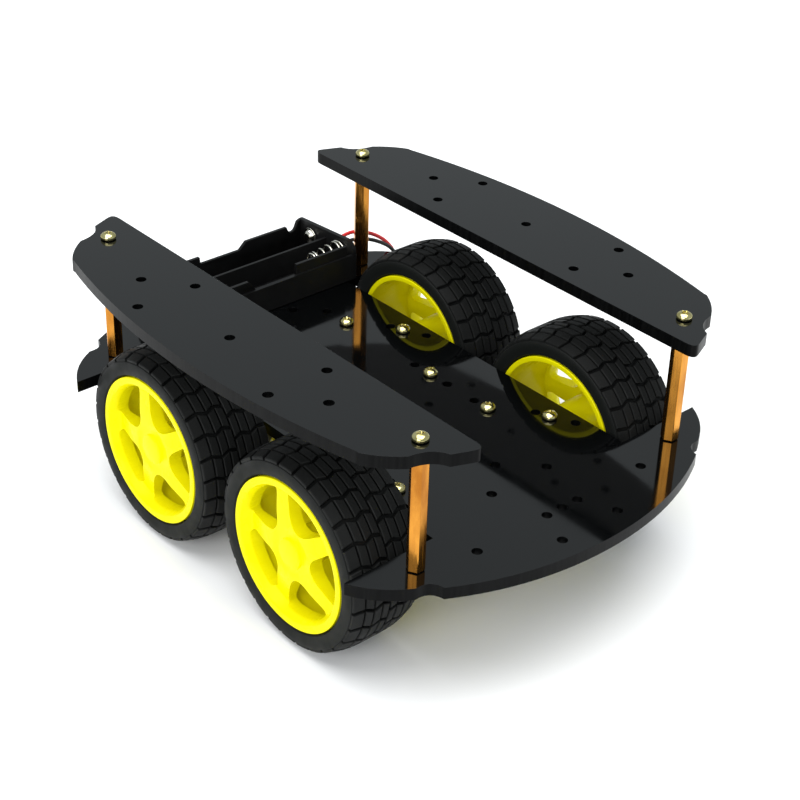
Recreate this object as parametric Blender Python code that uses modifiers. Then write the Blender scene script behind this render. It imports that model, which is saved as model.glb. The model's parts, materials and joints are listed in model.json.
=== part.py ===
"""Four wheel robot chassis: a laser-cut deck on four geared wheels, with two raised side plates.

Frame: metres, +Z up, origin on the ground under the middle of the deck.
The front of the chassis is -Y, its left side is +X, and the battery holder is at the rear, +Y.
"""
import math

import bmesh
import bpy
from mathutils import Matrix, Vector

MM = 0.001
GAP = 0.3                    # clearance kept between neighbouring pieces, mm

# ---- driving dimensions, mm ----
TYRE_R = 32.5
AXLE_Z = TYRE_R
AXLE_Y = 35.5                # half of the wheelbase
WHEEL_X = 55.1               # middle of each tyre
TYRE_HALF_WIDTH = 13.2
RIM_R = 24.8
RIM_HALF_WIDTH = 13.0
WEB_BACK = 6.2               # back of the spokes, out from the wheel's middle
WINDOWS = 5                  # openings between the rim's spokes
SHAFT_R = 2.65

SHEET = 4.0                  # thickness of the acrylic sheet
DECK_TOP = 44.5
STANDOFF = 39.0              # from the deck's top to the side plates' underside
SIDE_PLATE_TOP = DECK_TOP + STANDOFF + SHEET
DECK_HALF_LENGTH = 100.0
ARCH_X, ARCH_Y = 40.0, 68.0  # inner edge and end of the wheel arches

STANDOFF_X, STANDOFF_Y = 53.3, 75.4
STANDOFF_FLATS = 5.0
THREAD_R = 1.35              # shank of an M3 screw, drawn at its root
HOLE_R = 1.65                # clearance hole for M3
SCREW_HEAD_R, SCREW_HEAD_H = 2.5, 2.0

PLATE_HOLE_X = 60.7          # middle of the side plates' hole pattern
MOTOR_SCREWS = ((32.2, -8.0), (20.2, 8.0))  # across the chassis, and along it from the axle
DECK_SCREW_X = 20.2

GEARBOX_INNER_X, CASE_SPLIT_X, GEARBOX_OUTER_X = 17.0, 24.0, 37.5
GEARBOX_ABOVE, GEARBOX_BELOW = 7.6, 11.2   # reach over and under the axle
GEARBOX_NOSE, GEARBOX_TAIL = 11.4, 27.0   # reach past the axle, and back to the motor
GEAR_R = 5.5

MOTOR_X = 27.3
MOTOR_R, MOTOR_FLAT = 10.0, 7.5
MOTOR_LENGTH, END_CAP_LENGTH = 21.0, 4.0

BOX_X, BOX_HALF_LENGTH = 7.0, 37.0        # middle and half length of the battery holder
BOX_FRONT, BOX_REAR = 66.8, 98.4
BOX_BASE = DECK_TOP + GAP
BOX_WALL, BOX_FLOOR, BOX_PARTITION, BOX_END = 1.2, 1.2, 1.0, 1.6
CELL_HEIGHT = 8.0                         # axis of a cell above the holder's base
SPRING_WIRE_R, SPRING_TURNS, SPRING_LENGTH = 0.36, 5, 12.0
SPRING_WIDE_R, SPRING_NARROW_R = 4.4, 3.0

LEAD_R = 0.7

SIDES = {"left": 1, "right": -1}
ENDS = {"front": -1, "rear": 1}

COLLECTION = "four_wheel_robot_chassis"

RED_ROUTE = ((44.4, 81.6, 51.4), (47.0, 81.9, 52.6), (51.0, 82.2, 53.9), (55.6, 81.6, 54.2),
             (60.0, 80.3, 53.0), (64.5, 79.2, 50.6), (68.6, 78.4, 47.0), (71.4, 77.6, 42.4),
             (72.3, 77.3, 36.0), (72.5, 77.4, 26.0), (72.6, 77.8, 15.0), (73.0, 78.8, 6.5),
             (73.6, 81.6, 1.9), (73.8, 86.0, 0.8), (72.2, 91.6, 0.75), (68.2, 95.6, 0.75),
             (62.6, 97.2, 0.75))
BLACK_ROUTE = ((44.4, 78.9, 50.9), (47.0, 79.4, 51.6), (51.0, 79.9, 52.3), (55.6, 79.5, 52.1),
               (60.0, 78.3, 50.9), (64.2, 77.2, 48.9), (68.2, 76.3, 46.0), (70.9, 75.1, 41.8),
               (71.5, 74.4, 36.0), (71.5, 74.3, 26.0), (71.6, 74.8, 15.0), (71.6, 76.0, 6.5),
               (71.4, 79.2, 1.9), (70.8, 83.6, 0.8), (68.4, 88.8, 0.75), (63.8, 92.2, 0.75),
               (58.2, 93.0, 0.75))


# ---- helpers ----
def clear_scene():
    for obj in list(bpy.data.objects):
        bpy.data.objects.remove(obj, do_unlink=True)
    for name in (COLLECTION, "cutters"):
        old = bpy.data.collections.get(name)
        if old:
            bpy.data.collections.remove(old)
        bpy.context.scene.collection.children.link(bpy.data.collections.new(name))


def material(name, color, roughness, metallic=0.0):
    found = bpy.data.materials.get(name)
    if found:
        return found
    mat = bpy.data.materials.new(name)
    mat.use_nodes = True
    shader = mat.node_tree.nodes["Principled BSDF"]
    shader.inputs["Base Color"].default_value = (*color, 1.0)
    shader.inputs["Roughness"].default_value = roughness
    shader.inputs["Metallic"].default_value = metallic
    return mat


def acrylic():
    return material("black_acrylic", (0.012, 0.013, 0.014), 0.12)


def rim_plastic():
    return material("yellow_rim_plastic", (0.92, 0.80, 0.03), 0.30)


def gearbox_plastic():
    return material("yellow_gearbox_plastic", (0.86, 0.62, 0.05), 0.42)


def rubber():
    return material("black_rubber", (0.018, 0.018, 0.018), 0.80)


def brass():
    return material("brass", (0.72, 0.43, 0.14), 0.30, 1.0)


def nickel():
    return material("nickel_plate", (0.80, 0.77, 0.68), 0.25, 1.0)


def bright_steel():
    return material("bright_steel", (0.62, 0.62, 0.62), 0.28, 1.0)


def white_nylon():
    return material("white_nylon", (0.86, 0.85, 0.80), 0.45)


def holder_plastic():
    return material("black_holder_plastic", (0.014, 0.014, 0.015), 0.45)


def cap_plastic():
    return material("dark_cap_plastic", (0.03, 0.03, 0.032), 0.55)


def red_sleeve():
    return material("red_sleeve", (0.60, 0.02, 0.02), 0.40)


def black_sleeve():
    return material("black_sleeve", (0.015, 0.015, 0.015), 0.40)


def link(obj, collection=COLLECTION):
    bpy.data.collections[collection].objects.link(obj)
    return obj


def coat(obj, mat):
    obj.data.materials.clear()
    obj.data.materials.append(mat)
    return obj


def smooth(obj, angle=35):
    obj.data.shade_smooth()
    obj.data.set_sharp_from_angle(angle=math.radians(angle))
    return obj


def arc(cx, cy, radius, start, end, steps):
    """Points of an arc, with angles in degrees, both ends included."""
    points = []
    for i in range(steps + 1):
        a = math.radians(start + (end - start) * i / steps)
        points.append((cx + radius * math.cos(a), cy + radius * math.sin(a)))
    return points


def circle(cx, cy, radius, steps=12):
    return arc(cx, cy, radius, 0, 360, steps)[:-1]


def bend(start, control, end, steps):
    """Points of a quadratic curve, both ends included."""
    points = []
    for i in range(steps + 1):
        t = i / steps
        a, b, c = (1 - t) ** 2, 2 * t * (1 - t), t * t
        points.append((a * start[0] + b * control[0] + c * end[0],
                       a * start[1] + b * control[1] + c * end[1]))
    return points


def mirrored(points, x=1, y=1):
    flipped = [(px * x, py * y) for px, py in points]
    return flipped[::-1] if x * y < 0 else flipped


def welded_mesh(source, name, collection):
    """Turn a curve object into a closed mesh object of its own, and remove the curve."""
    bpy.context.view_layer.update()
    evaluated = source.evaluated_get(bpy.context.evaluated_depsgraph_get())
    mesh = bpy.data.meshes.new_from_object(evaluated)
    mesh.name = name
    bm = bmesh.new()
    bm.from_mesh(mesh)
    bmesh.ops.remove_doubles(bm, verts=bm.verts, dist=1e-6)
    bmesh.ops.recalc_face_normals(bm, faces=bm.faces)
    bm.to_mesh(mesh)
    bm.free()
    obj = link(bpy.data.objects.new(name, mesh), collection)
    obj.matrix_world = source.matrix_world.copy()
    data = source.data
    bpy.data.objects.remove(source, do_unlink=True)
    bpy.data.curves.remove(data)
    return obj


# Each maps a prism's own (x, y, z) to the world: its outline's x and y, and the way it is extruded.
UPWARD = Matrix.Identity(4)
ACROSS = Matrix(((0, 0, 1, 0), (1, 0, 0, 0), (0, 1, 0, 0), (0, 0, 0, 1)))       # outline in Y, Z
LENGTHWISE = Matrix(((1, 0, 0, 0), (0, 0, -1, 0), (0, 1, 0, 0), (0, 0, 0, 1)))  # outline in X, Z


def prism(name, loops, low, high, way=UPWARD, collection=COLLECTION):
    """Flat loops, filled and extruded from low to high, as a closed mesh object."""
    if way is LENGTHWISE:
        low, high = -high, -low
    curve = bpy.data.curves.new(name, "CURVE")
    curve.dimensions = "2D"
    curve.fill_mode = "BOTH"
    curve.extrude = (high - low) / 2 * MM
    for loop in loops:
        spline = curve.splines.new("POLY")
        spline.points.add(len(loop) - 1)
        for point, (x, y) in zip(spline.points, loop):
            point.co = (x * MM, y * MM, 0.0, 1.0)
        spline.use_cyclic_u = True
    flat = link(bpy.data.objects.new(name + "_outline", curve), collection)
    obj = welded_mesh(flat, name, collection)
    obj.data.transform(way @ Matrix.Translation((0.0, 0.0, (low + high) / 2 * MM)))
    return obj


def block(name, low, high, collection=COLLECTION):
    """A box between two corners, in mm."""
    mesh = bpy.data.meshes.new(name)
    bm = bmesh.new()
    bmesh.ops.create_cube(bm, size=1.0)
    for vert in bm.verts:
        for k in range(3):
            vert.co[k] = (low[k] if vert.co[k] < 0 else high[k]) * MM
    bm.to_mesh(mesh)
    bm.free()
    return link(bpy.data.objects.new(name, mesh), collection)


def rod(name, radius, start, end, sides=12, collection=COLLECTION):
    """A cylinder from start to end, in mm."""
    start, end = Vector(start) * MM, Vector(end) * MM
    mesh = bpy.data.meshes.new(name)
    bm = bmesh.new()
    bmesh.ops.create_cone(bm, cap_ends=True, segments=sides, radius1=radius * MM,
                          radius2=radius * MM, depth=(end - start).length)
    turn = (end - start).to_track_quat("Z", "Y").to_matrix().to_4x4()
    bmesh.ops.transform(bm, matrix=Matrix.Translation((start + end) / 2) @ turn, verts=bm.verts)
    bm.to_mesh(mesh)
    bm.free()
    return link(bpy.data.objects.new(name, mesh), collection)


def turned(name, profile, steps, closed=False):
    """A profile of (radius, height) points, in mm, turned about Z by a Screw modifier.

    It runs down its outer side. An open profile starts and ends on the axis.
    """
    mesh = bpy.data.meshes.new(name)
    count = len(profile)
    edges = [(i, (i + 1) % count) for i in range(count if closed else count - 1)]
    mesh.from_pydata([(r * MM, 0.0, z * MM) for r, z in profile], edges, [])
    obj = link(bpy.data.objects.new(name, mesh))
    screw = obj.modifiers.new("turn", "SCREW")
    screw.steps = steps
    screw.render_steps = steps
    screw.use_merge_vertices = True
    screw.merge_threshold = 0.00001
    return obj


def boolean(obj, other, operation):
    other.hide_render = True
    other.display_type = "WIRE"
    step = obj.modifiers.new(other.name, "BOOLEAN")
    step.operation = operation
    step.object = other
    step.solver = "EXACT"


def tube(name, points, radius):
    """A round wire along points, in mm, with closed ends."""
    curve = bpy.data.curves.new(name, "CURVE")
    curve.dimensions = "3D"
    curve.bevel_depth = radius * MM
    curve.bevel_resolution = 2
    curve.use_fill_caps = True
    spline = curve.splines.new("POLY")
    spline.points.add(len(points) - 1)
    for point, co in zip(spline.points, points):
        point.co = (*(c * MM for c in co), 1.0)
    return link(bpy.data.objects.new(name, curve))


def smooth_route(knots, spacing):
    """Points at even spacing on a Catmull-Rom curve through the knots."""
    knots = [Vector(k) for k in knots]
    ends = [2 * knots[0] - knots[1]] + knots + [2 * knots[-1] - knots[-2]]
    fine = []
    for p0, p1, p2, p3 in zip(ends, ends[1:], ends[2:], ends[3:]):
        for i in range(24):
            t = i / 24
            fine.append(0.5 * (2 * p1 + (p2 - p0) * t + (2 * p0 - 5 * p1 + 4 * p2 - p3) * t * t
                               + (3 * p1 - p0 - 3 * p2 + p3) * t ** 3))
    fine.append(knots[-1])
    total = sum((b - a).length for a, b in zip(fine, fine[1:]))
    count = round(total / spacing)
    wanted = [total * i / count for i in range(count)]
    route, travelled, index = [], 0.0, 0
    for a, b in zip(fine, fine[1:]):
        length = (b - a).length
        while index < count and wanted[index] <= travelled + length:
            route.append(a.lerp(b, (wanted[index] - travelled) / length))
            index += 1
        travelled += length
    route.append(fine[-1])
    return route


# ---- acrylic sheets ----
def deck_outline():
    corner = bend((73.0, ARCH_Y), (68.5, 77.2), (59.2, 82.2), 8)
    notch = bend((59.2, 82.2), (53.6, 81.6), (52.8, 87.0), 6)
    nose = bend((52.8, 87.0), (29.0, DECK_HALF_LENGTH), (0.0, DECK_HALF_LENGTH), 13)
    quarter = [(ARCH_X, ARCH_Y)] + corner + notch[1:] + nose[1:]
    left_rear = quarter[:-1]
    return (left_rear + [(0.0, DECK_HALF_LENGTH)] + mirrored(left_rear, x=-1)
            + mirrored(left_rear, x=-1, y=-1) + [(0.0, -DECK_HALF_LENGTH)]
            + mirrored(left_rear, y=-1))


def deck_holes():
    """Plain M3 holes, as (across, along) from the middle, repeated on both sides."""
    single = [(0.0, -80.5), (0.0, -52.0), (0.0, 52.0)]
    paired = [(6.4, -80.6), (34.4, -80.5), (11.6, -92.0), (11.6, -62.6), (11.6, 62.6),
              (20.4, -20.9), (20.4, -8.0), (20.4, 8.0), (20.4, 54.6)]
    by_axle = [(30.9, -2.9), (36.4, -15.4)]
    holes = list(single)
    for side in SIDES.values():
        holes += [(side * x, y) for x, y in paired]
        holes += [(side * x, end * AXLE_Y + y) for x, y in by_axle for end in ENDS.values()]
    return holes


def motor_screw_places():
    places = {}
    for end_name, end in ENDS.items():
        for side_name, side in SIDES.items():
            for which, (x, y) in zip(("outer", "inner"), MOTOR_SCREWS):
                places[f"{end_name}_{side_name}_{which}"] = (side * x, end * AXLE_Y + y)
    return places


def standoff_places():
    return {f"{end_name}_{side_name}": (side * STANDOFF_X, end * STANDOFF_Y)
            for end_name, end in ENDS.items() for side_name, side in SIDES.items()}


def deck_screw_places():
    return {name: (side * DECK_SCREW_X, 0.0) for name, side in SIDES.items()}


def build_base_plate():
    places = deck_holes()
    for group in (motor_screw_places(), standoff_places(), deck_screw_places()):
        places += list(group.values())
    loops = [deck_outline()] + [circle(x, y, HOLE_R, 8) for x, y in places]
    coat(prism("base_plate", loops, DECK_TOP - SHEET, DECK_TOP), acrylic())


def side_plate_outline():
    """The left plate's outline: straight inner edge, bowed outer edge, and notched ends."""
    bow_radius, bow_reach, bow_half = 290.8, 78.5, 13.68
    end = (bend((42.4, 85.6), (42.4, 89.6), (45.4, 88.3), 5)
           + bend((51.8, 85.7), (53.6, 80.2), (61.2, 79.4), 7)
           + bend((61.2, 79.4), (66.8, 75.6), (70.2, 70.0), 5)[1:])
    outer = arc(bow_reach - bow_radius, 0.0, bow_radius, bow_half, -bow_half, 24)
    return end + outer + mirrored(end, y=-1)


def side_plate_holes():
    far, near, across = 45.8, 32.0, 10.5
    return [(0.0, 0.0), (0.0, far), (0.0, -far),
            (across, near), (-across, near), (across, -near), (-across, -near)]


def build_side_plates():
    holes = [(PLATE_HOLE_X + x, y) for x, y in side_plate_holes()]
    holes += [(STANDOFF_X, end * STANDOFF_Y) for end in ENDS.values()]
    for name, side in SIDES.items():
        loops = [mirrored(side_plate_outline(), x=side)]
        loops += [circle(side * x, y, HOLE_R, 8) for x, y in holes]
        plate = prism(f"side_plate_{name}", loops, SIDE_PLATE_TOP - SHEET, SIDE_PLATE_TOP)
        coat(plate, acrylic())


# ---- standoffs and screws ----
def build_standoffs():
    low, high = DECK_TOP + GAP, DECK_TOP + STANDOFF - GAP
    hexagon_r = STANDOFF_FLATS / 2 / math.cos(math.radians(30))
    for name, (x, y) in standoff_places().items():
        post = prism(f"standoff_{name}", [circle(x, y, hexagon_r, 6)], low, high)
        for end_name, z0, z1 in (("foot", low - 1.0, low + 9.0), ("head", high - 9.0, high + 1.0)):
            bore = rod(f"standoff_{name}_{end_name}_thread", HOLE_R, (x, y, z0), (x, y, z1),
                       collection="cutters")
            boolean(post, bore, "DIFFERENCE")
        coat(post, brass())


def screw(name, x, y, seat, length, up=1):
    """A pan-head screw whose head stands on a face at height seat, pointing up or down."""
    base = seat + up * GAP
    profile = [(0.0, SCREW_HEAD_H), (1.6, SCREW_HEAD_H - 0.1), (SCREW_HEAD_R, 0.8),
               (SCREW_HEAD_R, 0.0), (THREAD_R, 0.0), (THREAD_R, -length), (0.0, -length)]
    obj = turned(name, profile, 8)
    obj.location = (x * MM, y * MM, base * MM)
    if up < 0:
        obj.rotation_euler = (math.pi, 0.0, 0.0)
    return smooth(coat(obj, nickel()))


def build_screws():
    for name, (x, y) in standoff_places().items():
        screw(f"standoff_screw_top_{name}", x, y, SIDE_PLATE_TOP, 8.0)
        screw(f"standoff_screw_bottom_{name}", x, y, DECK_TOP - SHEET, 8.0, up=-1)
    for name, (x, y) in motor_screw_places().items():
        screw(f"motor_screw_{name}", x, y, DECK_TOP, 8.0)
    for name, (x, y) in deck_screw_places().items():
        screw(f"deck_screw_{name}", x, y, DECK_TOP, 4.0)


# ---- geared motors ----
def gearbox_outline(axle):
    """Side view of a gearbox, in Y and Z. Every gearbox points its nose forward."""
    top, bottom, corner = GEARBOX_ABOVE, -GEARBOX_BELOW, 2.6
    nose = (arc(-GEARBOX_NOSE + corner, top - corner, corner, 90, 180, 4)
            + arc(-GEARBOX_NOSE + corner, bottom + corner, corner, 180, 270, 4))
    outline = [(GEARBOX_TAIL, top)] + nose + [(GEARBOX_TAIL, bottom)]
    return [(axle + y, AXLE_Z + z) for y, z in outline]


def build_gearbox(end_name, end, side_name, side):
    tag = f"{end_name}_{side_name}"
    axle = end * AXLE_Y
    outline = [gearbox_outline(axle)]

    def across(a, b):
        return min(side * a, side * b), max(side * a, side * b)

    case = prism(f"gearbox_case_{tag}", outline, *across(CASE_SPLIT_X, GEARBOX_OUTER_X), ACROSS)
    cover = prism(f"gearbox_cover_{tag}", outline,
                  *across(GEARBOX_INNER_X, CASE_SPLIT_X - GAP), ACROSS)
    pocket_y = (axle - GEARBOX_NOSE + 2.2, axle + GEARBOX_TAIL - 2.2)
    pocket_x = across(CASE_SPLIT_X - 1.0, 29.6)
    pocket = block(f"gearbox_pocket_{tag}", (pocket_x[0], pocket_y[0], AXLE_Z - GEARBOX_BELOW + 1.5),
                   (pocket_x[1], pocket_y[1], AXLE_Z + GEARBOX_ABOVE - 1.5), "cutters")
    shaft_hole = rod(f"gearbox_shaft_hole_{tag}", SHAFT_R + GAP, (side * 28.0, axle, AXLE_Z),
                     (side * 39.0, axle, AXLE_Z), 16, "cutters")
    bearing = rod(f"gearbox_bearing_{tag}", SHAFT_R + GAP, (side * 19.0, axle, AXLE_Z),
                  (side * 25.0, axle, AXLE_Z), 16, "cutters")
    boolean(case, pocket, "DIFFERENCE")
    boolean(case, shaft_hole, "DIFFERENCE")
    boolean(cover, bearing, "DIFFERENCE")
    for piece, which in ((case, "outer"), (cover, "inner")):
        x, y = motor_screw_places()[f"{tag}_{which}"]
        pilot = rod(f"gearbox_pilot_{which}_{tag}", HOLE_R, (x, y, 35.6), (x, y, 43.0), 12,
                    "cutters")
        boolean(piece, pilot, "DIFFERENCE")
        coat(piece, gearbox_plastic())


def motor_outline(scale=1.0):
    """A round can with two flats, in X and Z about its own axis."""
    radius, flat = MOTOR_R * scale, MOTOR_FLAT * scale
    half = math.degrees(math.asin(flat / radius))
    return arc(0.0, 0.0, radius, -half, half, 6) + arc(0.0, 0.0, radius, 180 - half, 180 + half, 6)


def build_motor(end_name, end, side_name, side):
    """The can and end cap behind a gearbox."""
    tag = f"{end_name}_{side_name}"

    def section(scale):
        return [[(side * MOTOR_X + x, AXLE_Z + z) for x, z in motor_outline(scale)]]

    start = end * AXLE_Y + GEARBOX_TAIL + GAP
    can_end = start + MOTOR_LENGTH
    coat(prism(f"motor_can_{tag}", section(1.0), start, can_end, LENGTHWISE), bright_steel())
    cap_end = can_end + GAP + END_CAP_LENGTH
    cap = prism(f"motor_end_cap_{tag}", section(0.92), can_end + GAP, cap_end, LENGTHWISE)
    for name, dx in (("a", -4.6), ("b", 4.6)):
        x = side * MOTOR_X + dx
        tab = block(f"motor_tab_{tag}_{name}", (x - 1.1, cap_end - 1.0, AXLE_Z + 2.6),
                    (x + 1.1, cap_end + 2.6, AXLE_Z + 3.2), "cutters")
        boolean(cap, tab, "UNION")
    coat(cap, cap_plastic())


def build_motors():
    for end_name, end in ENDS.items():
        for side_name, side in SIDES.items():
            build_gearbox(end_name, end, side_name, side)
            build_motor(end_name, end, side_name, side)


# ---- wheels ----
def rim_profile():
    """Half section of the rim: radius, and distance out from the wheel's middle."""
    face, back = RIM_HALF_WIDTH, -RIM_HALF_WIDTH
    bore = SHAFT_R + GAP
    return [(0.0, 12.2), (5.2, 12.2), (5.8, 11.4), (20.6, 9.4), (22.6, face), (RIM_R, face),
            (RIM_R, back), (23.0, back), (22.4, WEB_BACK), (6.2, WEB_BACK), (5.6, back + 0.4),
            (bore, back + 0.4), (bore, 8.2), (0.0, 8.2)]


def window_outline(index):
    """One opening between two spokes, narrow at the hub and wide at the rim."""
    middle = 90 + 360 * (index + 0.5) / WINDOWS
    outer = arc(0.0, 0.0, 20.4, middle - 25, middle + 25, 4)
    inner = arc(0.0, 0.0, 9.6, middle + 13, middle - 13, 2)
    return outer + inner


def tyre_profile():
    """Half section of the tyre: a crowned tread over rounded shoulders."""
    w = TYRE_HALF_WIDTH
    outer_half = [(RIM_R + GAP, w - 0.8), (29.6, w), (30.7, w - 0.6), (31.8, w - 3.9),
                  (TYRE_R, w - 8.4)]
    return outer_half + [(r, -z) for r, z in reversed(outer_half)]


def shaft_profile():
    """Output shaft with its gear: radius, and distance out from the chassis's middle plane."""
    tip, gear_out, gear_in, root = 62.6, 28.6, 24.8, 19.4
    points = [(0.0, tip), (SHAFT_R - 0.5, tip), (SHAFT_R, tip - 0.6), (SHAFT_R, gear_out),
              (GEAR_R, gear_out), (GEAR_R, gear_in), (SHAFT_R, gear_in), (SHAFT_R, root),
              (0.0, root)]
    return [(r, z - WHEEL_X) for r, z in points]


def build_wheel(end_name, end, side_name, side):
    """Rim, tyre and output shaft on one empty, which sits on the axle."""
    tag = f"{end_name}_{side_name}"
    axle = bpy.data.objects.new(f"axle_{tag}", None)
    link(axle)
    axle.location = (side * WHEEL_X * MM, end * AXLE_Y * MM, AXLE_Z * MM)
    axle.rotation_euler = (0.0, side * math.pi / 2, 0.0)
    rim = smooth(turned(f"rim_{tag}", rim_profile(), 24))
    windows = prism(f"rim_windows_{tag}", [window_outline(i) for i in range(WINDOWS)],
                    WEB_BACK - 1.0, RIM_HALF_WIDTH + 1.0, collection="cutters")
    windows.parent = axle
    boolean(rim, windows, "DIFFERENCE")
    tyre = smooth(turned(f"tyre_{tag}", tyre_profile(), 32, closed=True))
    shaft = smooth(turned(f"output_shaft_{tag}", shaft_profile(), 12))
    for piece, mat in ((rim, rim_plastic()), (tyre, rubber()), (shaft, white_nylon())):
        piece.parent = axle
        coat(piece, mat)


def build_wheels():
    for end_name, end in ENDS.items():
        for side_name, side in SIDES.items():
            build_wheel(end_name, end, side_name, side)


# ---- battery holder ----
def build_battery_box():
    """An open tray: low front and rear walls with raised tabs, a partition and two high ends."""
    left, right = BOX_X + BOX_HALF_LENGTH, BOX_X - BOX_HALF_LENGTH
    base, overlap = BOX_BASE, 0.3
    front_low, front_tab = base + 9.8, base + 13.6
    rear_low, rear_tab = base + 8.2, base + 10.9
    end_high, end_low = base + 14.4, base + 12.4
    front = [(right, base), (left, base), (left, front_low), (right, front_low)]
    front_tabs = [(right, base), (left - 4.0, base), (left - 4.0, front_tab), (17.4, front_tab),
                  (17.2, front_low - overlap), (-0.4, front_low - overlap), (-3.6, front_tab),
                  (right, front_tab)]
    notch = arc(38.2, rear_tab - 0.7, 1.9, 340, 190, 5)
    rear = ([(right, base), (left, base), (left, end_low), (42.6, end_low), (41.0, rear_tab + 0.9)]
            + notch + [(35.9, rear_tab), (17.4, rear_tab), (14.4, rear_low), (-2.8, rear_low),
                       (-3.1, rear_tab), (right, rear_tab)])
    partition = [(right + 0.5, base), (left - 0.5, base), (left - 0.5, front_low + 0.9),
                 (right + 0.5, front_low + 0.9)]
    end_corner = arc(BOX_FRONT + 4.4, end_high - 4.4, 4.4, 90, 165, 5)
    left_end = [(BOX_FRONT, base), (BOX_REAR, base), (BOX_REAR, end_low),
                (BOX_REAR - 2.0, end_low + 0.2)] + end_corner
    right_end = [(BOX_FRONT + BOX_REAR - y, z) for y, z in left_end]
    middle = (BOX_FRONT + BOX_REAR) / 2
    tabs_start = BOX_FRONT + BOX_WALL - overlap
    walls = (("front", front, BOX_FRONT, BOX_FRONT + BOX_WALL, LENGTHWISE),
             ("front_tabs", front_tabs, tabs_start, tabs_start + BOX_WALL, LENGTHWISE),
             ("rear", rear, BOX_REAR - BOX_WALL, BOX_REAR, LENGTHWISE),
             ("partition", partition, middle - BOX_PARTITION / 2, middle + BOX_PARTITION / 2,
              LENGTHWISE),
             ("left_end", left_end, left - BOX_END, left, ACROSS),
             ("right_end", right_end, right, right + BOX_END, ACROSS))
    box = block("battery_box", (right, BOX_FRONT, base), (left, BOX_REAR, base + BOX_FLOOR))
    for name, outline, low, high, way in walls:
        boolean(box, prism(f"battery_box_{name}", [outline], low, high, way, "cutters"), "UNION")
    coat(box, holder_plastic())


def bay_middles():
    inner = BOX_PARTITION / 2 + (BOX_REAR - BOX_FRONT - BOX_PARTITION) / 4
    middle = (BOX_FRONT + BOX_REAR) / 2
    return {"front": (middle - inner, 1), "rear": (middle + inner, -1)}


def build_contacts():
    """In each bay, a coil spring at one end and a button contact at the other."""
    height = BOX_BASE + CELL_HEIGHT
    end_face = BOX_HALF_LENGTH - BOX_END - GAP
    steps = SPRING_TURNS * 8
    profile = [(0.0, 2.0), (1.6, 1.9), (2.4, 1.2), (2.6, 0.5), (3.4, 0.5), (3.4, 0.0), (0.0, 0.0)]
    for name, (y, way) in bay_middles().items():
        coil = []
        for i in range(steps + 1):
            t = i / steps
            radius = SPRING_WIDE_R + (SPRING_NARROW_R - SPRING_WIDE_R) * t
            a = math.radians(360 * SPRING_TURNS * t)
            x = BOX_X + way * (end_face - SPRING_WIRE_R - t * SPRING_LENGTH)
            coil.append((x, y + radius * math.cos(a), height + radius * math.sin(a)))
        coat(tube(f"battery_spring_{name}", coil, SPRING_WIRE_R), nickel())
        button = turned(f"battery_contact_{name}", profile, 12)
        button.location = ((BOX_X - way * end_face) * MM, y * MM, height * MM)
        button.rotation_euler = (0.0, way * math.pi / 2, 0.0)
        smooth(coat(button, nickel()))


def build_leads():
    for name, route, mat in (("red_lead", RED_ROUTE, red_sleeve()),
                             ("black_lead", BLACK_ROUTE, black_sleeve())):
        coat(tube(name, smooth_route(route, 3.8), LEAD_R), mat)


def main():
    clear_scene()
    build_base_plate()
    build_side_plates()
    build_standoffs()
    build_screws()
    build_motors()
    build_wheels()
    build_battery_box()
    build_contacts()
    build_leads()


main()
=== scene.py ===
"""Looks of the four wheel robot chassis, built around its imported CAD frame.

Metres, +Z up, front of the chassis at -Y, its left side at +X.
"""

import json
import math

import bmesh
import bpy
from mathutils import Matrix, Vector


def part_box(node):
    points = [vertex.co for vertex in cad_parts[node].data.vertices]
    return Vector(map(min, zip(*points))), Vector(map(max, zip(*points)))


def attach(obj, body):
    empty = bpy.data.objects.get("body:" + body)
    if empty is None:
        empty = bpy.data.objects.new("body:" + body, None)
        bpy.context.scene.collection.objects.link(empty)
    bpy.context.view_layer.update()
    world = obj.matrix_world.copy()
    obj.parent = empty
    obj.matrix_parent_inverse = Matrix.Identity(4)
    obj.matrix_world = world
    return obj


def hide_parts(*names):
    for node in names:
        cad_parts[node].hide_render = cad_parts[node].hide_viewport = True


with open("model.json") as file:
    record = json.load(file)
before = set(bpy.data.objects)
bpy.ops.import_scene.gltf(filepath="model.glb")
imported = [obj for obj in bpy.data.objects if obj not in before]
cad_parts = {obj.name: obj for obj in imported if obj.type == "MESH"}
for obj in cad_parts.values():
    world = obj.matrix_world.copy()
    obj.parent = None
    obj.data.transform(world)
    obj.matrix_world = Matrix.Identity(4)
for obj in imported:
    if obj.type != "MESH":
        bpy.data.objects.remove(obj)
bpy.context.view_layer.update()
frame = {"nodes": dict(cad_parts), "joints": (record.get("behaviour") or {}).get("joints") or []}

MM = 0.001
SAME_PLACE = 1e-7             # vertices closer than this, in metres, are joined
SIDES = {"left": 1, "right": -1}
ENDS = {"front": -1, "rear": 1}
CORNERS = [f"{end}_{side}" for end in ENDS for side in SIDES]


# ---- meshes ----
def new_object(name, mesh, material=None):
    obj = bpy.data.objects.new(name, mesh)
    bpy.context.scene.collection.objects.link(obj)
    if material:
        mesh.materials.clear()
        mesh.materials.append(material)
    return obj


def from_bmesh(name, bm, material=None):
    bmesh.ops.recalc_face_normals(bm, faces=bm.faces)
    mesh = bpy.data.meshes.new(name)
    bm.to_mesh(mesh)
    bm.free()
    return new_object(name, mesh, material)


def smooth(obj, angle):
    obj.data.shade_smooth()
    obj.data.set_sharp_from_angle(angle=math.radians(angle))
    return obj


def applied(obj):
    """The object with its modifiers made part of its mesh."""
    bpy.context.view_layer.update()
    evaluated = obj.evaluated_get(bpy.context.evaluated_depsgraph_get())
    mesh = bpy.data.meshes.new_from_object(evaluated)
    mesh.name = obj.name
    obj.modifiers.clear()
    obj.data = mesh
    return obj


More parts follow.
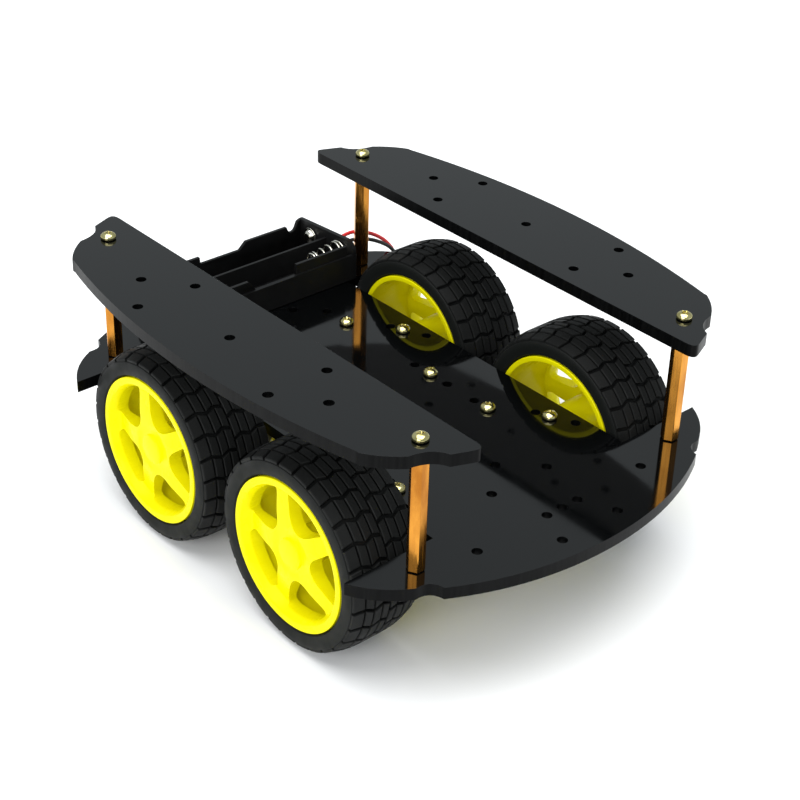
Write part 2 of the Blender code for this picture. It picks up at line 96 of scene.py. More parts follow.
def rounded(obj, width, segments=2, angle=35):
    """Sharp edges of an object rounded by a Bevel of this width, in mm."""
    bevel = obj.modifiers.new("rounding", "BEVEL")
    bevel.width = width * MM
    bevel.segments = segments
    bevel.limit_method = "ANGLE"
    bevel.angle_limit = math.radians(angle)
    bevel.use_clamp_overlap = True
    smooth(obj, 60)
    level = obj.modifiers.new("flat faces stay flat", "WEIGHTED_NORMAL")
    level.keep_sharp = True
    level.weight = 100
    return applied(obj)


def carved(obj, cutters):
    """Cuts each cutter out of the object, and removes the cutters."""
    for cutter in cutters:
        cut = obj.modifiers.new("cut", "BOOLEAN")
        cut.operation = "DIFFERENCE"
        cut.object = cutter
        cut.solver = "EXACT"
    applied(obj)
    for cutter in cutters:
        bpy.data.objects.remove(cutter, do_unlink=True)


def turned(name, profile, steps):
    """A closed loop of (radius, height) points, in mm, turned about Z."""
    bm = bmesh.new()
    rings = []
    for i in range(steps):
        a = 2 * math.pi * i / steps
        ring = []
        for radius, height in profile:
            ring.append(bm.verts.new((radius * math.cos(a) * MM, radius * math.sin(a) * MM, height * MM)))
        rings.append(ring)
    count = len(profile)
    for i in range(steps):
        here, there = rings[i], rings[(i + 1) % steps]
        for k in range(count):
            m = (k + 1) % count
            if profile[k][0] == 0.0 and profile[m][0] == 0.0:
                continue
            bm.faces.new((here[k], there[k], there[m], here[m]))
    bmesh.ops.remove_doubles(bm, verts=bm.verts, dist=SAME_PLACE)
    bmesh.ops.dissolve_degenerate(bm, edges=bm.edges, dist=1e-8)
    return from_bmesh(name, bm)


def sheet(name, loops, low, high, material=None):
    """Flat loops of points, in metres, filled and extruded from low to high."""
    curve = bpy.data.curves.new(name, "CURVE")
    curve.dimensions = "2D"
    curve.fill_mode = "BOTH"
    curve.extrude = (high - low) / 2
    for loop in loops:
        spline = curve.splines.new("POLY")
        spline.points.add(len(loop) - 1)
        for point, (x, y) in zip(spline.points, loop):
            point.co = (x, y, 0.0, 1.0)
        spline.use_cyclic_u = True
    flat = new_object(name + "_outline", curve)
    bpy.context.view_layer.update()
    mesh = bpy.data.meshes.new_from_object(flat.evaluated_get(bpy.context.evaluated_depsgraph_get()))
    bpy.data.objects.remove(flat, do_unlink=True)
    bm = bmesh.new()
    bm.from_mesh(mesh)
    bmesh.ops.remove_doubles(bm, verts=bm.verts, dist=SAME_PLACE)
    bmesh.ops.translate(bm, verts=bm.verts, vec=(0.0, 0.0, (low + high) / 2))
    return from_bmesh(name, bm, material)


def circle(x, y, radius, steps):
    turn = 2 * math.pi / steps
    return [(x + radius * math.cos(turn * i), y + radius * math.sin(turn * i)) for i in range(steps)]


def arc(radius, start, end, steps):
    """Points about the origin, with angles in degrees, both ends included."""
    angles = [math.radians(start + (end - start) * i / steps) for i in range(steps + 1)]
    return [(radius * math.cos(a), radius * math.sin(a)) for a in angles]


def softened_corners(loop, radius, steps):
    """A polygon whose corners are swapped for short curves that start radius away from them."""
    result = []
    for before, corner, after in zip(loop[-1:] + loop[:-1], loop, loop[1:] + loop[:1]):
        c = Vector(corner)
        ends = []
        for other in (Vector(before), Vector(after)):
            reach = min(radius, (other - c).length * 0.49)
            ends.append(c + (other - c).normalized() * reach)
        for i in range(steps + 1):
            t = i / steps
            p = ends[0] * (1 - t) ** 2 + c * 2 * t * (1 - t) + ends[1] * t * t
            result.append((p.x, p.y))
    return result


def tube(name, points, radius, material):
    """A round wire along points, in metres, with closed ends."""
    curve = bpy.data.curves.new(name, "CURVE")
    curve.dimensions = "3D"
    curve.bevel_depth = radius
    curve.bevel_resolution = 3
    curve.use_fill_caps = True
    spline = curve.splines.new("POLY")
    spline.points.add(len(points) - 1)
    for point, co in zip(spline.points, points):
        point.co = (*co, 1.0)
    curve.materials.append(material)
    return new_object(name, curve)


def cad_copy(node, name, material):
    """A new object with the CAD node's shape, its doubled vertices joined."""
    bm = bmesh.new()
    bm.from_mesh(frame["nodes"][node].data)
    bmesh.ops.remove_doubles(bm, verts=bm.verts, dist=SAME_PLACE)
    bmesh.ops.dissolve_limit(bm, angle_limit=math.radians(0.5), verts=bm.verts, edges=bm.edges)
    return from_bmesh(name, bm, material)


def stands_for(piece, body, node):
    """The piece moves with a body and replaces its CAD node."""
    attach(piece, body)
    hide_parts(node)


# ---- materials ----
class Finish:
    """A procedural material: a Principled BSDF whose sockets textures are linked to."""

    def __init__(self, name, color, roughness, metallic=0.0, **sockets):
        self.material = bpy.data.materials.new(name)
        self.material.use_nodes = True
        self.nodes = self.material.node_tree.nodes
        self.links = self.material.node_tree.links
        self.shader = self.nodes["Principled BSDF"]
        self.shader.inputs["Base Color"].default_value = (*color, 1.0)
        self.shader.inputs["Roughness"].default_value = roughness
        self.shader.inputs["Metallic"].default_value = metallic
        for socket, value in sockets.items():
            self.shader.inputs[socket.replace("_", " ")].default_value = value
        self.coordinates = self.nodes.new("ShaderNodeTexCoord")
        self.bump_normal = None

    def stretched(self, stretch):
        mapping = self.nodes.new("ShaderNodeMapping")
        mapping.inputs["Scale"].default_value = stretch
        self.links.new(self.coordinates.outputs["Object"], mapping.inputs["Vector"])
        return mapping.outputs["Vector"]

    def noise(self, scale, detail=3.0, stretch=(1.0, 1.0, 1.0)):
        texture = self.nodes.new("ShaderNodeTexNoise")
        texture.inputs["Scale"].default_value = scale
        texture.inputs["Detail"].default_value = detail
        self.links.new(self.stretched(stretch), texture.inputs["Vector"])
        return texture.outputs["Fac"]

    def cells(self, scale):
        texture = self.nodes.new("ShaderNodeTexVoronoi")
        texture.inputs["Scale"].default_value = scale
        self.links.new(self.stretched((1.0, 1.0, 1.0)), texture.inputs["Vector"])
        return texture.outputs["Distance"]

    def ranged(self, value, from_low, from_high, to_low, to_high):
        node = self.nodes.new("ShaderNodeMapRange")
        for socket, number in zip(("From Min", "From Max", "To Min", "To Max"),
                                  (from_low, from_high, to_low, to_high)):
            node.inputs[socket].default_value = number
        self.links.new(value, node.inputs["Value"])
        return node.outputs["Result"]

    def blend(self, factor, first, second):
        node = self.nodes.new("ShaderNodeMix")
        node.data_type = "RGBA"
        self.links.new(factor, node.inputs["Factor"])
        for socket, color in ((6, first), (7, second)):
            if isinstance(color, tuple):
                node.inputs[socket].default_value = (*color, 1.0)
            else:
                self.links.new(color, node.inputs[socket])
        return node.outputs[2]

    def combined(self, operation, first, second):
        node = self.nodes.new("ShaderNodeMath")
        node.operation = operation
        for socket, value in enumerate((first, second)):
            if isinstance(value, float):
                node.inputs[socket].default_value = value
            else:
                self.links.new(value, node.inputs[socket])
        return node.outputs[0]

    def paint(self, color):
        self.links.new(color, self.shader.inputs["Base Color"])

    def roughen(self, value, low, high):
        self.links.new(self.ranged(value, 0.3, 0.7, low, high), self.shader.inputs["Roughness"])

    def bump(self, height, strength, distance):
        """Adds relief, with its depth in mm."""
        node = self.nodes.new("ShaderNodeBump")
        node.inputs["Strength"].default_value = strength
        node.inputs["Distance"].default_value = distance * MM
        self.links.new(height, node.inputs["Height"])
        if self.bump_normal:
            self.links.new(self.bump_normal, node.inputs["Normal"])
        self.bump_normal = node.outputs["Normal"]
        self.links.new(self.bump_normal, self.shader.inputs["Normal"])

    def upright_faces(self):
        """1 on faces that stand upright, 0 on faces that lie flat."""
        geometry = self.nodes.new("ShaderNodeNewGeometry")
        split = self.nodes.new("ShaderNodeSeparateXYZ")
        self.links.new(geometry.outputs["Normal"], split.inputs["Vector"])
        lean = self.combined("ABSOLUTE", split.outputs["Z"], 0.0)
        return self.ranged(lean, 0.35, 0.75, 1.0, 0.0)

    def rubbed_edges_and_sheen(self, amount):
        """Lighter where the surface is crowned: on a moulding its rubbed edges, on the tyre a painted
        sheen.
        """
        geometry = self.nodes.new("ShaderNodeNewGeometry")
        return self.ranged(geometry.outputs["Pointiness"], 0.505, 0.56, 0.0, amount)


def acrylic_finish():
    """Polished sheet with faint smudges, a few dust specks and duller laser-cut edges."""
    body = (0.0011, 0.0013, 0.0014)
    f = Finish("acrylic", body, 0.06, IOR=1.47)
    edge = f.upright_faces()
    specks = f.ranged(f.cells(340.0), 0.0, 0.05, 0.08, 0.0)
    sparse = f.ranged(f.noise(60.0), 0.60, 0.70, 0.0, 1.0)
    face = f.blend(f.combined("MULTIPLY", specks, sparse), body, (0.20, 0.20, 0.19))
    streak = f.ranged(f.noise(900.0, 2.0, (1.0, 1.0, 0.03)), 0.35, 0.65, 0.0, 1.0)
    cut = f.blend(streak, (0.0007, 0.0008, 0.0009), (0.0026, 0.0028, 0.0029))
    f.paint(f.blend(edge, face, cut))
    f.links.new(f.ranged(edge, 0.0, 1.0, 0.5, 0.07), f.shader.inputs["Specular IOR Level"])
    smudge = f.ranged(f.noise(26.0, 5.0), 0.42, 0.72, 0.045, 0.12)
    rough_edge = f.combined("MULTIPLY", edge, 0.24)
    f.links.new(f.combined("ADD", smudge, rough_edge), f.shader.inputs["Roughness"])
    f.bump(f.noise(9.0, 1.0), 0.12, 0.35)
    f.bump(f.combined("MULTIPLY", streak, edge), 0.35, 0.03)
    return f.material


def rim_finish():
    """Glossy moulded yellow, a little uneven in tone, with light orange peel."""
    f = Finish("rim_yellow", (0.80, 0.73, 0.001), 0.26, Specular_IOR_Level=0.06,
               Subsurface_Weight=0.05, Subsurface_Radius=(0.004, 0.003, 0.001), Subsurface_Scale=0.5)
    f.paint(f.blend(f.noise(42.0, 2.0), (0.78, 0.69, 0.001), (0.81, 0.76, 0.002)))
    f.roughen(f.noise(120.0, 4.0), 0.20, 0.34)
    f.bump(f.noise(700.0, 2.0), 0.12, 0.03)
    return f.material


def tyre_finish():
    """Matte rubber with a fine moulded grain, dusty bloom and a slight painted sheen on its crowns."""
    f = Finish("tyre_rubber", (0.004, 0.004, 0.004), 0.55, Specular_IOR_Level=0.09)
    bloom = f.ranged(f.noise(70.0, 5.0), 0.42, 0.70, 0.0, 1.0)
    tread = f.blend(bloom, (0.0024, 0.0026, 0.0026), (0.0060, 0.0066, 0.0062))
    across = f.nodes.new("ShaderNodeSeparateXYZ")
    f.links.new(f.coordinates.outputs["Object"], across.inputs["Vector"])
    sidewall = f.ranged(f.combined("ABSOLUTE", across.outputs["Z"], 0.0), 12.6 * MM, 13.0 * MM, 0.0, 1.0)
    base = f.blend(sidewall, tread, (0.0070, 0.0080, 0.0074))
    # The crowns are painted lighter, a painted sheen on the rubber.
    f.paint(f.blend(f.rubbed_edges_and_sheen(0.5), base, (0.014, 0.0145, 0.014)))
    f.roughen(f.noise(200.0, 4.0), 0.42, 0.62)
    f.bump(f.noise(1900.0, 3.0), 0.35, 0.05)
    return f.material


def brass_finish():
    """Drawn hexagonal bar: fine lines along its length and toned patches, their dark end painted shade.
    """
    f = Finish("brass", (0.80, 0.42, 0.12), 0.24, 1.0)
    tone_and_shade = f.ranged(f.noise(150.0, 4.0, (1.0, 1.0, 0.35)), 0.35, 0.68, 0.0, 1.0)
    # Real toning, with its dark end deepened into painted shade and painted dark reflections.
    f.paint(f.blend(tone_and_shade, (0.72, 0.32, 0.050), (0.36, 0.13, 0.018)))
    f.roughen(f.noise(1500.0, 3.0, (1.0, 1.0, 0.04)), 0.14, 0.30)
    f.bump(f.noise(2200.0, 2.0, (1.0, 1.0, 0.03)), 0.18, 0.02)
    return f.material


def plated_finish(name, light, dark, low, high):
    """Bright plating over pressed metal, with stains too faint to see as spots."""
    f = Finish(name, light, low, 1.0)
    f.paint(f.blend(f.ranged(f.noise(420.0, 4.0), 0.4, 0.7, 0.0, 1.0), light, dark))
    f.roughen(f.noise(900.0, 3.0), low, high)
    f.bump(f.noise(1600.0, 2.0), 0.10, 0.02)
    return f.material


def steel_finish():
    """Drawn motor can with lines along its length."""
    f = Finish("motor_steel", (0.60, 0.60, 0.59), 0.28, 1.0)
    f.paint(f.blend(f.noise(160.0, 4.0, (1.0, 0.1, 1.0)), (0.50, 0.50, 0.49), (0.70, 0.70, 0.69)))
    f.roughen(f.noise(1400.0, 3.0, (1.0, 0.04, 1.0)), 0.20, 0.38)
    f.bump(f.noise(2000.0, 2.0, (1.0, 0.03, 1.0)), 0.15, 0.02)
    return f.material


def moulded_finish(name, dark, light, low, high, relief=0.04, gloss=0.5):
    """Satin moulding with a spark-eroded grain and rubbed edges."""
    f = Finish(name, dark, low, Specular_IOR_Level=gloss)
    base = f.blend(f.ranged(f.noise(90.0, 4.0), 0.35, 0.7, 0.0, 1.0), dark, light)
    rubbed = tuple(min(1.0, c * 1.5 + 0.005) for c in light)
    f.paint(f.blend(f.rubbed_edges_and_sheen(0.6), base, rubbed))
    f.roughen(f.noise(260.0, 4.0), low, high)
    f.bump(f.noise(1700.0, 3.0), 0.30, relief)
    return f.material


def floor_finish():
    f = Finish("floor_paper", (0.92, 0.92, 0.92), 0.75)
    f.paint(f.blend(f.noise(4.0, 3.0), (0.90, 0.90, 0.90), (0.94, 0.94, 0.94)))
    f.bump(f.noise(900.0, 2.0), 0.05, 0.03)
    return f.material


ACRYLIC = acrylic_finish()
RIM = rim_finish()
RUBBER = tyre_finish()
BRASS = brass_finish()
SCREW_PLATING = plated_finish("screw_nickel", (0.68, 0.62, 0.30), (0.44, 0.38, 0.14), 0.10, 0.22)
CONTACT_PLATING = plated_finish("contact_nickel", (0.90, 0.88, 0.80), (0.74, 0.70, 0.58), 0.10, 0.20)
STEEL = steel_finish()
GEARBOX = moulded_finish("gearbox_yellow", (0.80, 0.55, 0.03), (0.88, 0.66, 0.06), 0.36, 0.50)
HOLDER = moulded_finish("holder_black", (0.0010, 0.0010, 0.0011), (0.0028, 0.0028, 0.0029), 0.34, 0.50,
                        gloss=0.22)
END_CAP = moulded_finish("end_cap_black", (0.016, 0.016, 0.017), (0.028, 0.028, 0.029), 0.45, 0.60)
NYLON = moulded_finish("nylon_white", (0.78, 0.77, 0.71), (0.88, 0.87, 0.82), 0.36, 0.48, 0.02)
RED_SLEEVE = moulded_finish("sleeve_red", (0.56, 0.010, 0.014), (0.68, 0.020, 0.022), 0.30, 0.42, 0.01)
BLACK_SLEEVE = moulded_finish("sleeve_black", (0.006, 0.006, 0.006), (0.012, 0.012, 0.012), 0.30, 0.42,
                              0.01)


# ---- camera, floor and light ----
CAMERA_ANGLES = (-42.340, 30.803, 1.985)               # azimuth, elevation and roll, in degrees
CAMERA_PLACE = (-0.32119, -0.36329, 0.34487)
CAMERA_LENS = 79.20                                    # mm, on a sensor 36 mm wide
CAMERA_SHIFT = (-0.0096, -0.0433)
FLOOR_REACH = 9.0
FLOOR_TOP = -0.0003


def build_camera():
    """The view from the front right, turned a little about its own axis."""
    azimuth, elevation, roll = (math.radians(a) for a in CAMERA_ANGLES)
    ahead = Vector((-math.sin(azimuth) * math.cos(elevation), math.cos(azimuth) * math.cos(elevation),
                    -math.sin(elevation)))
    level = Vector((math.cos(azimuth), math.sin(azimuth), 0.0))
    above = level.cross(ahead)
    right = math.cos(roll) * level + math.sin(roll) * above
    up = -math.sin(roll) * level + math.cos(roll) * above
    camera = bpy.data.objects.new("camera", bpy.data.cameras.new("camera"))
    bpy.context.scene.collection.objects.link(camera)
    turn = Matrix((right, up, -ahead)).transposed().to_4x4()
    camera.matrix_world = Matrix.Translation(CAMERA_PLACE) @ turn
    camera.data.sensor_width = 36.0
    camera.data.lens = CAMERA_LENS
    camera.data.shift_x, camera.data.shift_y = CAMERA_SHIFT
    camera.data.clip_start = 0.01
    bpy.context.scene.camera = camera


def area_light(name, place, aim, size, power):
    data = bpy.data.lights.new(name, "AREA")
    data.shape = "RECTANGLE"
    data.size, data.size_y = size
    data.energy = power
    light = bpy.data.objects.new(name, data)
    bpy.context.scene.collection.objects.link(light)
    light.location = place
    light.rotation_euler = (Vector(aim) - Vector(place)).to_track_quat("-Z", "Y").to_euler()


def build_studio():
    reach = FLOOR_REACH
    corners = [(-reach, -reach), (reach, -reach), (reach, reach), (-reach, reach)]
    floor = sheet("floor", [corners], -0.01, FLOOR_TOP, floor_finish())
    area_light("overhead_softbox", (-0.15, -0.1, 1.5), (0.0, 0.0, 0.0), (1.6, 1.6), 32.0)
    area_light("near_side_softbox", (-1.25, -0.55, 0.75), (0.0, 0.0, 0.03), (0.9, 0.7), 13.0)
    world = bpy.data.worlds.new("studio")
    bpy.context.scene.world = world
    world.use_nodes = True
    background = world.node_tree.nodes["Background"]
    background.inputs["Color"].default_value = (0.90, 0.97, 1.0, 1.0)
    background.inputs["Strength"].default_value = 0.52


bpy.context.scene.view_settings.view_transform = "Standard"
build_camera()
build_studio()


# ---- leads ----
LEAD_POINT_SPACING = 1.6      # mm along the route
RED_ROUTE = ((44.4, 81.6, 51.4), (47.0, 81.9, 52.6), (51.0, 82.2, 53.9), (55.6, 81.6, 54.2),
             (60.0, 80.3, 53.0), (64.5, 79.2, 50.6), (68.6, 78.4, 47.0), (71.4, 77.6, 42.4),
             (72.3, 77.3, 36.0), (72.5, 77.4, 26.0), (72.6, 77.8, 15.0), (73.0, 78.8, 6.5),
             (73.6, 81.6, 1.9), (73.8, 86.0, 0.8), (72.2, 91.6, 0.75), (68.2, 95.6, 0.75),
             (62.6, 97.2, 0.75))
BLACK_ROUTE = ((44.4, 78.9, 50.9), (47.0, 79.4, 51.6), (51.0, 79.9, 52.3), (55.6, 79.5, 52.1),
               (60.0, 78.3, 50.9), (64.2, 77.2, 48.9), (68.2, 76.3, 46.0), (70.9, 75.1, 41.8),
               (71.5, 74.4, 36.0), (71.5, 74.3, 26.0), (71.6, 74.8, 15.0), (71.6, 76.0, 6.5),
               (71.4, 79.2, 1.9), (70.8, 83.6, 0.8), (68.4, 88.8, 0.75), (63.8, 92.2, 0.75),
               (58.2, 93.0, 0.75))


def smooth_route(knots, spacing):
    """Points at even spacing, in metres, on a Catmull-Rom curve through knots in mm."""
    knots = [Vector(k) for k in knots]
    ends = [2 * knots[0] - knots[1]] + knots + [2 * knots[-1] - knots[-2]]
    fine = []
    for p0, p1, p2, p3 in zip(ends, ends[1:], ends[2:], ends[3:]):
        for i in range(24):
            t = i / 24
            fine.append(0.5 * (2 * p1 + (p2 - p0) * t + (2 * p0 - 5 * p1 + 4 * p2 - p3) * t * t
                               + (3 * p1 - p0 - 3 * p2 + p3) * t ** 3))
    fine.append(knots[-1])
    total = sum((b - a).length for a, b in zip(fine, fine[1:]))
    count = round(total / spacing)
    wanted = [total * i / count for i in range(count)]
    route, travelled, index = [], 0.0, 0
    for a, b in zip(fine, fine[1:]):
        length = (b - a).length
        while index < count and wanted[index] <= travelled + length:
            route.append(a.lerp(b, (wanted[index] - travelled) / length) * MM)
            index += 1
        travelled += length
    route.append(fine[-1] * MM)
    return route


def build_leads():
    radius = 0.7 * MM
    for color, knots, material in (("red", RED_ROUTE, RED_SLEEVE), ("black", BLACK_ROUTE, BLACK_SLEEVE)):
        route = smooth_route(knots, LEAD_POINT_SPACING)
        lead = tube(f"{color}_lead_sleeve", route, radius, material)
        stands_for(lead, "chassis", f"{color}_lead")


build_leads()


# ---- acrylic sheets ----
HOLE_STEPS = 36


def flat_loops(node):
    """Every closed loop of points around the top face of a sheet."""
    bm = bmesh.new()
    bm.from_mesh(frame["nodes"][node].data)
    bmesh.ops.remove_doubles(bm, verts=bm.verts, dist=1e-6)
    bm.normal_update()
    neighbours = {}
    for edge in bm.edges:
        flat = [face for face in edge.link_faces if face.normal.z > 0.9]
        if len(flat) == 1:
            a, b = edge.verts
            neighbours.setdefault(a, []).append(b)
            neighbours.setdefault(b, []).append(a)
    loops, seen = [], set()
    for start in sorted(neighbours, key=lambda v: v.index):
        if start in seen:
            continue
        loop, here = [], start
        while here is not None:
            seen.add(here)
            loop.append((here.co.x, here.co.y))
            here = next((v for v in neighbours[here] if v not in seen), None)
        loops.append(loop)
    bm.free()
    return loops


def build_sheet(node):
    """The sheet again, with round holes and its sharp edges just broken."""
    loops = flat_loops(node)
    outline = max(loops, key=len)
    holes = []
    for loop in loops:
        if loop is not outline:
            centre = sum((Vector(p) for p in loop), Vector((0.0, 0.0))) / len(loop)
            holes.append(circle(*centre, (Vector(loop[0]) - centre).length, HOLE_STEPS))
    low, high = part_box(node)
    plate = sheet(f"{node}_acrylic", [outline] + holes, low.z, high.z, ACRYLIC)
    stands_for(rounded(plate, 0.18, 2, 50), "chassis", node)


for sheet_node in ["base_plate"] + [f"side_plate_{side}" for side in SIDES]:
    build_sheet(sheet_node)


# ---- standoffs and screws ----
STANDOFF_BORE_R = 1.4
HEAD_R, HEAD_H, HEAD_RIM_H = 2.5, 2.0, 0.55
THREAD_R, THREAD_ROOT_R, THREAD_PITCH = 1.33, 1.08, 0.5
LONG_SHANK, SHORT_SHANK = 7.8, 3.8
RECESS_DEPTH, RECESS_FLOOR_R, RECESS_TOP_R, RECESS_SLIMNESS = 1.5, 0.8, 2.0, 0.28
TURN_TO_NEXT_SCREW = 0.9      # radians, so that no two neighbours' recesses line up


def build_standoff(corner):
    node = f"standoff_{corner}"
    low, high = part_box(node)
    centre = (low + high) / 2
    hexagon = circle(centre.x, centre.y, (high.x - low.x) / 2, 6)
    bore = circle(centre.x, centre.y, STANDOFF_BORE_R * MM, 24)
    post = sheet(f"{node}_brass", [hexagon, bore], low.z, high.z, BRASS)
    stands_for(rounded(post, 0.22, 2, 50), "chassis", node)


def screw_mesh(length):
    """A pan head with a cross recess over a threaded shank, its origin on top of the head."""
    seat = -HEAD_H
    dome = [(HEAD_R * math.sin(a), seat + HEAD_RIM_H + (HEAD_H - HEAD_RIM_H) * math.cos(a))
            for a in (math.pi / 2 * i / 8 for i in range(9))]
    profile = dome + [(HEAD_R, seat + 0.1), (HEAD_R - 0.15, seat), (1.35, seat)]
    for i in range(int(length / THREAD_PITCH)):
        top = seat - 0.2 - i * THREAD_PITCH
        profile += [(THREAD_R, top), (THREAD_ROOT_R, top - THREAD_PITCH / 2)]
    profile += [(1.0, seat - length - 0.2), (0.0, seat - length - 0.2)]
    body = turned("screw", profile, 32)
    arms = []
    for turn in (0.0, math.pi / 2):
        bm = bmesh.new()
        bmesh.ops.create_cone(bm, cap_ends=True, segments=4, radius1=RECESS_FLOOR_R * MM,
                              radius2=RECESS_TOP_R * MM, depth=RECESS_DEPTH * MM)
        bmesh.ops.rotate(bm, verts=bm.verts, matrix=Matrix.Rotation(math.pi / 4, 3, "Z"))
        bmesh.ops.scale(bm, verts=bm.verts, vec=(1.0, RECESS_SLIMNESS, 1.0))
        bmesh.ops.rotate(bm, verts=bm.verts, matrix=Matrix.Rotation(turn, 3, "Z"))
        bmesh.ops.translate(bm, verts=bm.verts, vec=(0.0, 0.0, -0.55 * MM))
        arms.append(from_bmesh("recess", bm))
    carved(body, arms)
    body = rounded(body, 0.06, 1, 50)
    mesh = body.data
    mesh.materials.clear()
    mesh.materials.append(SCREW_PLATING)
    bpy.data.objects.remove(body, do_unlink=True)
    return mesh


def build_screws():
    """The two deck screws end in the deck, above the motors; the others go on through it."""
    long_screw, short_screw = screw_mesh(LONG_SHANK), screw_mesh(SHORT_SHANK)
    nodes = [n for n in sorted(frame["nodes"]) if "screw" in n]
    for index, node in enumerate(nodes):
        low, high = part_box(node)
        centre = (low + high) / 2
        down = "bottom" in node
        piece = new_object(f"{node}_plated", short_screw if "deck" in node else long_screw)
        piece.location = (centre.x, centre.y, low.z if down else high.z)
        piece.rotation_euler = (math.pi if down else 0.0, 0.0, TURN_TO_NEXT_SCREW * index)
        stands_for(piece, "chassis", node)


for corner_name in CORNERS:
    build_standoff(corner_name)
build_screws()


# ---- wheels ----
TREAD_PITCHES = 28
TREAD_DEPTH = 1.2
TREAD_R = 32.0                # turns lengths around the tread into angles
GROOVE_WIDTH = 1.15
BLOCK_EASING = 0.22
# each column of tread blocks: across the tyre from and to, then slant and phase in pitches
TREAD_COLUMNS = ((-12.7, -9.3, 0.08, 0.06), (-8.8, -6.2, -0.14, 0.14), (-5.7, -3.1, 0.14, 0.0),
                 (-2.6, -0.3, -0.10, 0.14), (0.3, 2.6, 0.10, 0.54), (3.1, 5.7, -0.14, 0.64),
                 (6.2, 8.8, 0.14, 0.50), (9.3, 12.7, -0.08, 0.64))
SPOKES = 5
WINDOW_OUTER_R, WINDOW_OUTER_SPREAD = 21.3, 29
WINDOW_INNER_R, WINDOW_INNER_SPREAD = 9.2, 14


def crown(z):
    """Radius of the tread across the tyre: flat in the middle, rounded at the shoulders."""
    return 32.48 - 0.0225 * max(0.0, abs(z) - 4.2) ** 2


def carcass_profile():
    half = [(25.12, 12.35), (25.6, 12.95), (26.6, 13.15), (28.0, 13.18), (29.2, 13.15), (29.8, 12.95),
            (30.0, 12.5), (29.9, 11.9)]
    floor = [(crown(z) - TREAD_DEPTH, z) for z in (9.5, 6.5, 3.5)]
    outer = half + floor
    return outer + [(crown(0.0) - TREAD_DEPTH, 0.0)] + [(r, -z) for r, z in reversed(outer)]


def add_block(bm, low, high, start, end, slant):
    """One tread block between two distances across the tyre and two angles, with eased edges."""
    mid = (start + end) / 2
    grid = [(start, low), (mid, low), (end, low), (end, high), (mid, high), (start, high)]
    rings = []
    for inset, depth in ((0.0, TREAD_DEPTH + 0.3), (0.0, BLOCK_EASING), (BLOCK_EASING, 0.0)):
        ring = []
        for angle, z in grid:
            lean = slant * (z - low) / (high - low)
            zi = z + inset * (1 if z == low else -1)
            ai = angle + lean
            if angle != mid:
                ai += inset / TREAD_R * (1 if angle == start else -1)
            radius = crown(zi) - depth
            ring.append(bm.verts.new((radius * math.cos(ai) * MM, radius * math.sin(ai) * MM, zi * MM)))
        rings.append(ring)
    for lower, upper in zip(rings, rings[1:]):
        for k in range(6):
            m = (k + 1) % 6
            bm.faces.new((lower[k], lower[m], upper[m], upper[k]))
    for ring in (rings[0], rings[-1]):
        bm.faces.new((ring[0], ring[1], ring[4], ring[5]))
        bm.faces.new((ring[1], ring[2], ring[3], ring[4]))


def tyre_mesh():
    carcass = turned("tyre", carcass_profile(), 136)
    bm = bmesh.new()
    bm.from_mesh(carcass.data)
    bpy.data.objects.remove(carcass, do_unlink=True)
    pitch = 2 * math.pi / TREAD_PITCHES
    groove = GROOVE_WIDTH / TREAD_R
    for low, high, slant, phase in TREAD_COLUMNS:
        for k in range(TREAD_PITCHES):
            start = pitch * (k + phase) + groove / 2
            add_block(bm, low, high, start, start + pitch - groove, slant * pitch)
    tyre = smooth(from_bmesh("tyre", bm, RUBBER), 32)
    mesh = tyre.data
    bpy.data.objects.remove(tyre, do_unlink=True)
    return mesh


def rim_mesh():
    """Barrel, raised lip and hub in one turned body, with five windows cut through its web."""
    profile = [(0.0, 12.15), (4.2, 12.15), (4.9, 11.8), (5.1, 10.9), (7.4, 10.8), (8.2, 11.3),
               (13.0, 10.9), (19.4, 9.5), (20.6, 9.5), (21.5, 10.9), (22.2, 12.6), (22.8, 12.98),
               (24.6, 12.98), (24.78, 12.8), (24.78, -12.8), (24.6, -12.98), (23.2, -12.98),
               (23.0, -12.8), (22.4, 6.5), (6.2, 6.5), (5.7, -12.4), (3.0, -12.4), (3.0, 8.2), (0.0, 8.2)]
    rim = turned("rim", profile, 120)
    windows = []
    for k in range(SPOKES):
        centre = 90 + 360 / SPOKES * (k + 0.5)
        outer = arc(WINDOW_OUTER_R, centre - WINDOW_OUTER_SPREAD, centre + WINDOW_OUTER_SPREAD, 4)
        inner = arc(WINDOW_INNER_R, centre + WINDOW_INNER_SPREAD, centre - WINDOW_INNER_SPREAD, 1)
        loop = softened_corners(outer + inner, 3.0, 4)
        loop = [(x * MM, y * MM) for x, y in loop]
        windows.append(sheet(f"window_{k}", [loop], 5.0 * MM, 14.0 * MM))
    carved(rim, windows)
    rim = rounded(rim, 0.7, 3, 42)
    mesh = rim.data
    mesh.materials.clear()
    mesh.materials.append(RIM)
    bpy.data.objects.remove(rim, do_unlink=True)
    return mesh


def build_wheels():
    tyre, rim = tyre_mesh(), rim_mesh()
    for joint in frame["joints"]:
        body = joint["child"]
        corner = body.replace("wheel_", "")
        side = SIDES[corner.split("_")[1]]
        place = Matrix.Translation(joint["pos_m"]) @ Matrix.Rotation(side * math.pi / 2, 4, "Y")
        for name, mesh, slot in (("tyre", tyre, "tyre_rubber"), ("rim", rim, "rim_plastic")):
            piece = new_object(f"{name}_{corner}_moulded", mesh)
            piece.matrix_world = place
            stands_for(piece, body, f"{name}_{corner}")
        shaft = cad_copy(f"output_shaft_{corner}", f"output_shaft_{corner}_moulded", NYLON)
        stands_for(rounded(shaft, 0.2), body, f"output_shaft_{corner}")


build_wheels()


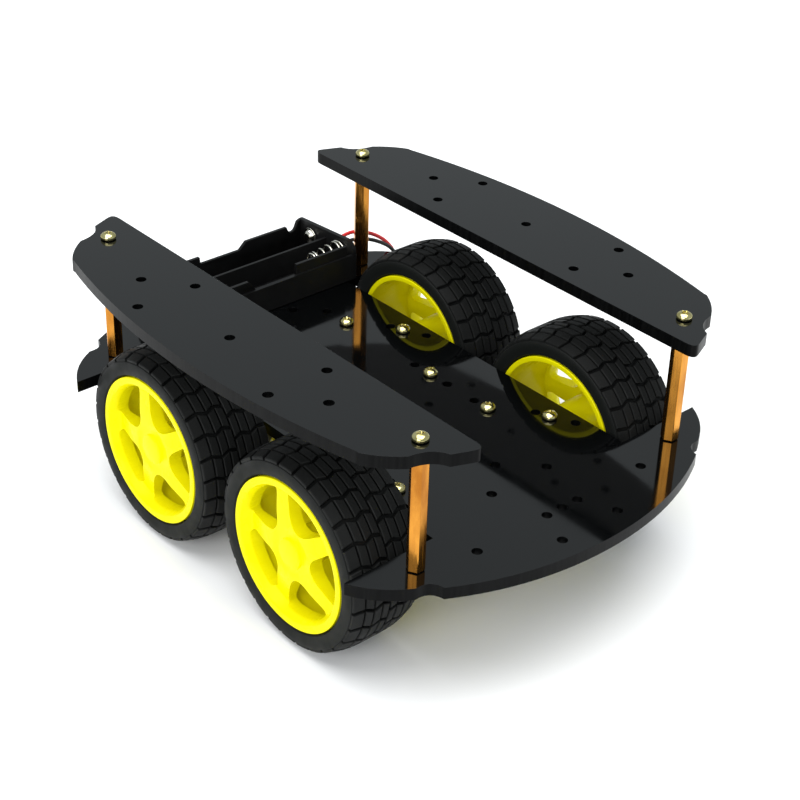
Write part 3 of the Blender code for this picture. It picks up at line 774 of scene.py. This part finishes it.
# ---- geared motors ----
def build_geared_motor(corner):
    for part, material, slot, width in (("gearbox_case", GEARBOX, "gearbox_plastic", 0.3),
                                        ("gearbox_cover", GEARBOX, "gearbox_plastic", 0.3),
                                        ("motor_can", STEEL, "motor_steel", 0.5),
                                        ("motor_end_cap", END_CAP, "end_cap_plastic", 0.35)):
        node = f"{part}_{corner}"
        piece = rounded(cad_copy(node, f"{node}_formed", material), width)
        stands_for(piece, "chassis", node)


for corner_name in CORNERS:
    build_geared_motor(corner_name)


# ---- battery holder ----
SPRING_WIRE_R = 0.36 * MM
SPRING_WIDE_R, SPRING_NARROW_R = 4.25 * MM, 2.9 * MM
SPRING_TURNS, SPRING_STEPS_PER_TURN = 5.5, 26


def build_holder():
    piece = rounded(cad_copy("battery_box", "battery_box_moulded", HOLDER), 0.28, 2, 35)
    stands_for(piece, "chassis", "battery_box")


def build_spring(bay, box_middle):
    """A conical spring with a closed last turn, wide where it sits on the holder's wall."""
    node = f"battery_spring_{bay}"
    low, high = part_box(node)
    way = 1 if (low.x + high.x) / 2 > box_middle else -1
    base = (high.x if way > 0 else low.x) - way * SPRING_WIRE_R
    reach = high.x - low.x - 2 * SPRING_WIRE_R
    centre_y, centre_z = (low.y + high.y) / 2, (low.z + high.z) / 2
    coil = []
    for i in range(int(SPRING_TURNS * SPRING_STEPS_PER_TURN) + 1):
        t = i / (SPRING_TURNS * SPRING_STEPS_PER_TURN)
        climb = min(1.0, max(0.0, (t - 0.16) / 0.68))
        angle = 2 * math.pi * SPRING_TURNS * t
        radius = SPRING_WIDE_R + (SPRING_NARROW_R - SPRING_WIDE_R) * climb
        coil.append((base - way * climb * reach, centre_y + radius * math.cos(angle),
                     centre_z + radius * math.sin(angle)))
    spring = tube(f"{node}_wire", coil, SPRING_WIRE_R, CONTACT_PLATING)
    stands_for(spring, "chassis", node)


def build_button(bay):
    node = f"battery_contact_{bay}"
    button = rounded(cad_copy(node, f"{node}_pressed", CONTACT_PLATING), 0.15, 2, 25)
    stands_for(button, "chassis", node)


def build_contacts():
    box_low, box_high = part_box("battery_box")
    for bay in ENDS:
        build_spring(bay, (box_low.x + box_high.x) / 2)
        build_button(bay)


build_holder()
build_contacts()
